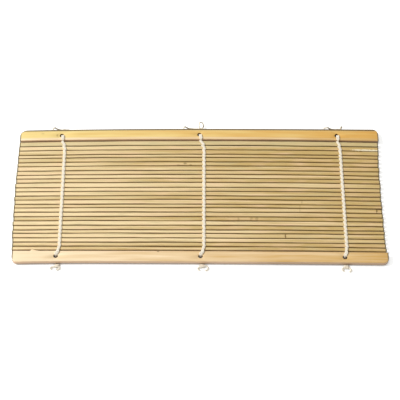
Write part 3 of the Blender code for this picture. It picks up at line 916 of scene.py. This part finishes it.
def build_string_tree():
    """The tree of a plied string: it follows each path, and lays the plies round it."""
    tree, given = new_tree("Plied string", (
        ("Plies", "Int"), ("Sides", "Int"), ("Step", "Float"), ("Material", "Material"),
    ))
    paths = feed(tree, "GeometryNodeMeshToCurve", {"Mesh": given["Geometry"]})
    rounded = feed(
        tree, "GeometryNodeCurveSplineType", {"Curve": paths}, spline_type="CATMULL_ROM"
    )
    stepped = feed(tree, "GeometryNodeResampleCurve", {
        "Curve": rounded, "Length": given["Step"],
    }, mode="LENGTH")
    plied = add_node(tree, "GeometryNodeDuplicateElements", {
        "Geometry": stepped, "Amount": given["Plies"],
    }, domain="SPLINE").outputs

    # Each ply goes round the path at its own share of a turn
    part = calc(tree, "DIVIDE", plied["Duplicate Index"], given["Plies"])
    turn = calc(tree, "ADD", named_attribute(tree, "turn"), part)
    angle = calc(tree, "MULTIPLY", turn, 2 * pi)
    tangent = feed(tree, "GeometryNodeInputTangent")
    given_across = named_attribute(tree, "across", "FLOAT_VECTOR")
    lengthwise = calc_vector(tree, "PROJECT", given_across, tangent)
    across = calc_vector(
        tree, "NORMALIZE", calc_vector(tree, "SUBTRACT", given_across, lengthwise)
    )
    up = calc_vector(tree, "CROSS_PRODUCT", across, tangent)
    sideways, upwards = (
        feed(tree, "ShaderNodeVectorMath", {
            0: way,
            "Scale": calc(
                tree, "MULTIPLY", calc(tree, wave, angle), named_attribute(tree, reach)
            ),
        }, operation="SCALE")
        for way, wave, reach in ((across, "COSINE", "spread"), (up, "SINE", "rise"))
    )
    laid = feed(tree, "GeometryNodeSetPosition", {
        "Geometry": plied["Geometry"], "Offset": calc_vector(tree, "ADD", sideways, upwards),
    })

    # The UV map runs along a ply and round it
    circle = feed(tree, "GeometryNodeCurvePrimitiveCircle", {
        "Resolution": given["Sides"], "Radius": 1.0,
    })
    along, around = (
        add_node(tree, "GeometryNodeSplineParameter").outputs[output]
        for output in ("Length", "Factor")
    )
    tube = feed(tree, "GeometryNodeCurveToMesh", {
        "Curve": store(tree, laid, "ply_along", along),
        "Profile Curve": store(tree, circle, "ply_round", around),
        "Scale": named_attribute(tree, "ply"), "Fill Caps": True,
    })
    uv = join_xyz(tree, *(named_attribute(tree, name) for name in ("ply_along", "ply_round")))
    mapped = store(tree, tube, "ply_map", uv, data_type="FLOAT2", domain="CORNER")
    end_tree(tree, mapped, given["Material"])
    return tree


def path_mesh(paths):
    """A mesh of open paths. A station is a place, the way across, and spread, rise, ply and turn."""
    stations = [station for path in paths for station in path]
    edges = []
    first = 0
    for path in paths:
        edges += [(first + step, first + step + 1) for step in range(len(path) - 1)]
        first += len(path)
    mesh = bpy.data.meshes.new("paths")
    mesh.from_pydata([station[0] for station in stations], edges, [])
    across = mesh.attributes.new("across", "FLOAT_VECTOR", "POINT")
    across.data.foreach_set("vector", [value for station in stations for value in station[1]])
    for place, name in enumerate(("spread", "rise", "ply", "turn"), 2):
        layer = mesh.attributes.new(name, "FLOAT", "POINT")
        layer.data.foreach_set("value", [station[place] for station in stations])
    return mesh


def twist(points, cord):
    """Adds to each station its share of the whole turns, so that paths meet ply on ply."""
    lengths = [0.0]
    for before, after in zip(points, points[1:]):
        lengths.append(lengths[-1] + (after[0] - before[0]).length)
    turns = max(round(lengths[-1] / cord.lay * cord.plies), 1) / cord.plies
    return [(*point, turns * length / lengths[-1]) for point, length in zip(points, lengths)]


def make_cotton(settings):
    """Bleached cotton spun into plied string.

    It is matte, with a soft sheen from its loose fibres. The fibres wind round each ply, so its
    surface is faintly ribbed and darker in the hollows. Painted shade darkens the creases.
    """
    material, tree, shader = new_material("cotton_string")
    # Fibres are really 0.02 mm thick. They are drawn in bundles of about 0.12 mm, so that they show.
    slanted = feed(tree, "ShaderNodeMapping", {
        "Vector": mesh_attribute(tree, "ply_map", "Vector"),
        "Scale": (1 / (0.9 * MM), 22.0, 1.0), "Rotation": (0.0, 0.0, 0.5),
    })
    fibres = noise(tree, slanted, detail=3.0, roughness=0.65)
    shade = ramp(tree, fibres, 0.6, 0.3, high=0.7)
    colour = mix(tree, shade, settings.cream, settings.shade)
    # Painted shade: ambient occlusion darkens the creases between plies and in the knots
    open_air = add_node(tree, "ShaderNodeAmbientOcclusion", {"Distance": 0.5 * MM}, samples=8)
    crease_shade_share = ramp(tree, open_air.outputs["AO"], 0.6, 0.2, high=0.6)
    crease_shaded = mix(tree, crease_shade_share, colour, settings.crease_shade)
    dress(tree, shader, crease_shaded, fibres, 0.6, 0.06 * MM)
    shader.inputs["Roughness"].default_value = 0.9
    shader.inputs["Specular IOR Level"].default_value = 0.2
    shader.inputs["Sheen Weight"].default_value = 0.25
    shader.inputs["Sheen Roughness"].default_value = 0.5
    return material


def strand_forms(cord):
    """Spread, rise and ply of a strand that lies flat, is squeezed in a gap, or is free."""
    flat = (cord.spread, cord.rise, cord.ply)
    throat = (cord.spread * 0.6, 0.0, cord.ply * 0.8)
    free = (cord.spread * 0.58, cord.spread * 0.58, cord.ply * 0.9)
    return flat, throat, free


def halfway(one, two):
    """The form between two forms."""
    return tuple((a + b) / 2 for a, b in zip(one, two))


def stitch_path(side, slat, over, cord):
    """The path of one strand round one thin slat, from hinge height to hinge height."""
    low, high = SLAT_BOXES[slat]
    face, way = (high.z, 1) if over else (low.z, -1)
    middle = (low.y + high.y) / 2
    flat, throat, _ = strand_forms(cord)
    rise = STITCH_LIFT * way
    legs = []
    for number, edge, share in ((slat - 1, high.y, -1), (slat, low.y, 1)):
        gap = gap_y(number)
        x = pair_x(side, gap)
        lean = PAIR_HALF_SPACING * way * share
        if number in (0, LAST - 1):
            lean *= OUTER_GAP_SHARE
        legs.append([
            (x + lean, gap, HINGE_HEIGHT, throat),
            (x + lean, gap, face - way * 0.35 * MM, throat),
            (
                x + lean * 0.75, (gap + edge) / 2 - share * 0.05 * MM, face + way * 0.30 * MM,
                halfway(flat, throat),
            ),
            (x + lean * 0.4, edge + share * 0.4 * MM, face + rise * 0.92, flat),
        ])
    crown = (pair_x(side, middle), middle, face + rise, flat)
    return strand_path(legs[0] + [crown] + legs[1][::-1], cord)


def strand_path(points, cord):
    """A strand's path through points, each given by its three places and its form."""
    return twist([(Vector((x, y, z)), RIGHT, *form) for x, y, z, form in points], cord)


def end_paths(side, out, cord):
    """The paths of both strands at an end slat, from the hinge to the knot."""
    low, high = SLAT_BOXES[0 if out > 0 else LAST]
    gap = gap_y(0 if out > 0 else LAST - 1)
    inner = low.y if out > 0 else high.y
    hole = HOLE_FAR if out > 0 else HOLE_NEAR
    x = HOLE_PLACES[side]
    gap_x = pair_x(side, gap)
    lean = out * PAIR_HALF_SPACING * OUTER_GAP_SHARE
    flat, throat, free = strand_forms(cord)
    pressed = (flat[0] * 1.4, *flat[1:])
    # In its hole a strand keeps to the right, and at the near end to the wall that faces the mat
    aside, short = (0.8 * MM, 0.0) if out > 0 else (0.4 * MM, 0.9 * MM)
    top, under = high.z + STITCH_LIFT, low.z - STITCH_LIFT
    through = [
        (gap_x + lean, gap, HINGE_HEIGHT, throat),
        (gap_x + lean, gap, high.z - 0.5 * MM, throat),
        (gap_x + lean * 0.85, gap + out * 0.2 * MM, high.z + 0.3 * MM, halfway(flat, throat)),
        (gap_x + lean * 0.6, inner + out * 0.7 * MM, top, pressed),
        (
            (gap_x + x + aside) / 2 + lean * 0.3, (inner + hole) / 2 - out * 0.4 * MM,
            top + 0.05 * MM, pressed,
        ),
        (x + aside, hole - out * (1.3 * MM + short), top, pressed),
        (x + aside, hole - out * (0.2 * MM + short), high.z + 0.1 * MM, pressed),
        (x + aside * 0.8, hole - out * short, high.z - 1.2 * MM, halfway(pressed, free)),
        (x, hole - out * short, (high.z + low.z) / 2, free),
        (x, hole + out * (0.4 * MM - short * 0.6), low.z + 0.5 * MM, free),
        (x, hole + out * 1.5 * MM, under + 0.05 * MM, flat),
        (x, out * (KNOT_OUT - 3.0 * MM), under, flat),
        (x + 0.4 * MM, out * (KNOT_OUT - 0.8 * MM), KNOT_HEIGHT, free),
    ]
    beneath = [
        (gap_x - lean, gap, HINGE_HEIGHT, throat),
        (gap_x - lean, gap, low.z + 0.45 * MM, throat),
        (gap_x - lean * 0.85, gap + out * 0.2 * MM, low.z - 0.3 * MM, halfway(flat, throat)),
        (gap_x - lean * 0.6, inner + out * 0.7 * MM, under, flat),
        (x + BESIDE_HOLE, hole - out * 0.5 * MM, under, flat),
        (x + BESIDE_HOLE, out * (KNOT_OUT - 3.0 * MM), under, flat),
        (x + BESIDE_HOLE - 0.4 * MM, out * (KNOT_OUT - 0.8 * MM), KNOT_HEIGHT, free),
    ]
    return [strand_path(path, cord) for path in (through, beneath)]


class MAT_OT_twine_strands(Operator):
    """Twines the cotton strands round the slats, three pairs side by side"""

    bl_idname = "mat.twine_strands"
    bl_label = "Twine Strands"

    def execute(self, context):
        cord = context.scene.mat_cord
        tree = build_string_tree()
        values = {
            "Plies": cord.plies, "Sides": cord.sides, "Step": cord.step,
            "Material": make_cotton(cord),
        }
        for slat, node in enumerate(SLAT_NODES):
            paths = []
            for side in SIDES:
                if slat in (0, LAST):
                    paths += end_paths(side, 1 if slat == 0 else -1, cord)
                else:
                    paths += [stitch_path(side, slat, over, cord) for over in (True, False)]
            piece = bake(f"twining_{slat:02d}", path_mesh(paths), tree, values)
            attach(piece, BODY_OF[node])
            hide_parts(*STRAND_NODES)
        return {"FINISHED"}


def tail_path(points, out, cord):
    """A tail through its points, from inside the knot to its frayed tip."""
    places = [Vector((x * MM, out * y * MM, z * MM)) for x, y, z in points]
    spread, rise, ply = strand_forms(cord)[2]
    stations = []
    for step, place in enumerate(places):
        course = places[min(step + 1, len(places) - 1)] - places[max(step - 1, 0)]
        fray = 1.0 if place == places[-1] else 0.0
        stations.append((
            place, course.cross(Vector((0.0, 0.0, 1.0))), spread * (0.8 + 0.5 * fray),
            rise * (0.8 + 0.2 * fray), ply * (0.85 - 0.35 * fray),
        ))
    return twist(stations, cord)


def wrap_path(middle, cord):
    """The turns that close a knot, wound about its middle along X."""
    spread, rise, ply = strand_forms(cord)[2]
    form = (spread * 0.75, rise * 0.75, ply * 0.85)
    steps = ceil(WRAP_TURNS * WRAP_TURN_STEPS)
    points = []
    for step in range(steps + 1):
        share = step / steps
        turn = 2 * pi * WRAP_TURNS * share
        tuck = min(share, 1 - share) * WRAP_TURNS * 2
        radius = min(0.45 + 0.55 * tuck, 1.0)
        place = middle + Vector((
            (2 * share - 1) * WRAP_HALF_LENGTH, WRAP_HALF_DEPTH * radius * cos(turn),
            WRAP_HALF_HEIGHT * radius * sin(turn),
        ))
        points.append((place, RIGHT, *form))
    return twist(points, cord)


class MAT_OT_tie_knots(Operator):
    """Ties the six knots, each with its turns and its two frayed tails"""

    bl_idname = "mat.tie_knots"
    bl_label = "Tie Knots"

    def execute(self, context):
        cord = context.scene.mat_cord
        tree = bpy.data.node_groups["Plied string"]
        values = {
            "Plies": cord.plies, "Sides": cord.sides, "Step": cord.step * 0.7,
            "Material": bpy.data.materials["cotton_string"],
        }
        for name, tails in TAILS.items():
            edge, side = name.split("_")
            out = 1 if edge == "far" else -1
            middle = Vector((HOLE_PLACES[side] + BESIDE_HOLE / 2, out * KNOT_OUT, KNOT_HEIGHT))
            paths = [wrap_path(middle, cord)] + [tail_path(tail, out, cord) for tail in tails]
            piece = bake(f"tied_knot_{name}", path_mesh(paths), tree, values)
            node = f"knot_{name}"
            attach(piece, BODY_OF[node])
            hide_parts(node)
        return {"FINISHED"}


# Stage


def make_paper(settings):
    """Matte white paper, seen as plain white, with a painted shadow where the mat touches it."""
    material, tree, shader = new_material("white_paper")
    shader.inputs["Base Color"].default_value = (*settings.floor, 1.0)
    shader.inputs["Roughness"].default_value = 0.9
    shader.inputs["Specular IOR Level"].default_value = 0.1
    shader.inputs["Emission Color"].default_value = (1.0, 1.0, 1.0, 1.0)
    light = add_node(tree, "ShaderNodeLightPath").outputs
    seen = calc(tree, "MAXIMUM", light["Is Camera Ray"], light["Is Glossy Ray"])
    # Painted contact shadow: ambient occlusion dims the glow near the mat
    contact_shadow_ao = add_node(tree, "ShaderNodeAmbientOcclusion", {"Distance": 2.5 * MM}, samples=8)
    share = calc(tree, "MULTIPLY", seen, contact_shadow_ao.outputs["AO"])
    glow = calc(tree, "MULTIPLY", share, 0.64)
    tree.links.new(glow, shader.inputs["Emission Strength"])
    return material


class MAT_OT_set_stage(Operator):
    """Sets the floor, the light and the camera"""

    bl_idname = "mat.set_stage"
    bl_label = "Set Stage"

    def execute(self, context):
        scene = context.scene
        settings = scene.mat_stage
        mesh = bpy.data.meshes.new("floor")
        corners = ((-1, -1), (1, -1), (1, 1), (-1, 1))
        mesh.from_pydata(
            [(x * FLOOR_REACH, y * FLOOR_REACH, 0.0) for x, y in corners], [], [(0, 1, 2, 3)]
        )
        mesh.materials.append(make_paper(settings))
        floor = add_object("floor", mesh)

        world = bpy.data.worlds.new("studio")
        scene.world = world
        world.use_nodes = True
        tree = world.node_tree
        light = add_node(tree, "ShaderNodeLightPath").outputs
        strength = ramp(tree, light["Is Camera Ray"], 0.0, 1.0, settings.sky, 1.0)
        tree.links.new(strength, tree.nodes["Background"].inputs["Strength"])
        tree.nodes["Background"].inputs["Color"].default_value = (1.0, 1.0, 1.0, 1.0)

        lamp = bpy.data.lights.new("key", "AREA")
        lamp.shape = "DISK"
        lamp.size = LAMP_SIZE
        lamp.energy = settings.key_power
        key = add_object("key", lamp)
        key.location = LAMP_PLACE
        key.rotation_euler = (-LAMP_PLACE).to_track_quat("-Z", "Y").to_euler()

        camera = bpy.data.cameras.new("camera")
        camera.sensor_width = 36.0
        camera.sensor_fit = "HORIZONTAL"
        camera.lens = settings.lens
        camera.clip_start = 0.05
        viewer = add_object("camera", camera)
        back = Vector((
            sin(YAW) * cos(ELEVATION), -cos(YAW) * cos(ELEVATION), sin(ELEVATION),
        ))
        level = Vector((0.0, 0.0, 1.0)).cross(back).normalized()
        upright = back.cross(level)
        right = level * cos(ROLL) + upright * sin(ROLL)
        up = upright * cos(ROLL) - level * sin(ROLL)
        turned = Matrix((right, up, back)).transposed().to_4x4()
        place = Matrix.Translation(CAMERA_TARGET + back * settings.distance)
        viewer.matrix_world = place @ turned
        scene.camera = viewer
        scene.view_settings.view_transform = "Standard"
        return {"FINISHED"}


class MAT_PT_panel(Panel):
    """Lists the steps that build the mat."""

    bl_idname = "MAT_PT_panel"
    bl_label = "Bamboo Draining Mat"
    bl_space_type = "VIEW_3D"
    bl_region_type = "UI"
    bl_category = "Mat"

    def draw(self, context):
        for name in STEPS:
            self.layout.operator(f"mat.{name}")


STEPS = ("lay_thin_slats", "lay_end_slats", "twine_strands", "tie_knots", "set_stage")
CLASSES = (
    MatSlatSettings, MatCordSettings, MatStageSettings, MAT_OT_lay_thin_slats,
    MAT_OT_lay_end_slats, MAT_OT_twine_strands, MAT_OT_tie_knots, MAT_OT_set_stage, MAT_PT_panel,
)


def register():
    """Registers the classes and the settings."""
    for cls in CLASSES:
        bpy.utils.register_class(cls)
    bpy.types.Scene.mat_slats = PointerProperty(type=MatSlatSettings)
    bpy.types.Scene.mat_cord = PointerProperty(type=MatCordSettings)
    bpy.types.Scene.mat_stage = PointerProperty(type=MatStageSettings)


def unregister():
    """Takes away the settings and the classes."""
    for name in ("mat_slats", "mat_cord", "mat_stage"):
        delattr(bpy.types.Scene, name)
    for cls in reversed(CLASSES):
        bpy.utils.unregister_class(cls)


def main():
    """Builds the mat."""
    register()
    for name in STEPS:
        getattr(bpy.ops.mat, name)()


if __name__ == "__main__":
    main()
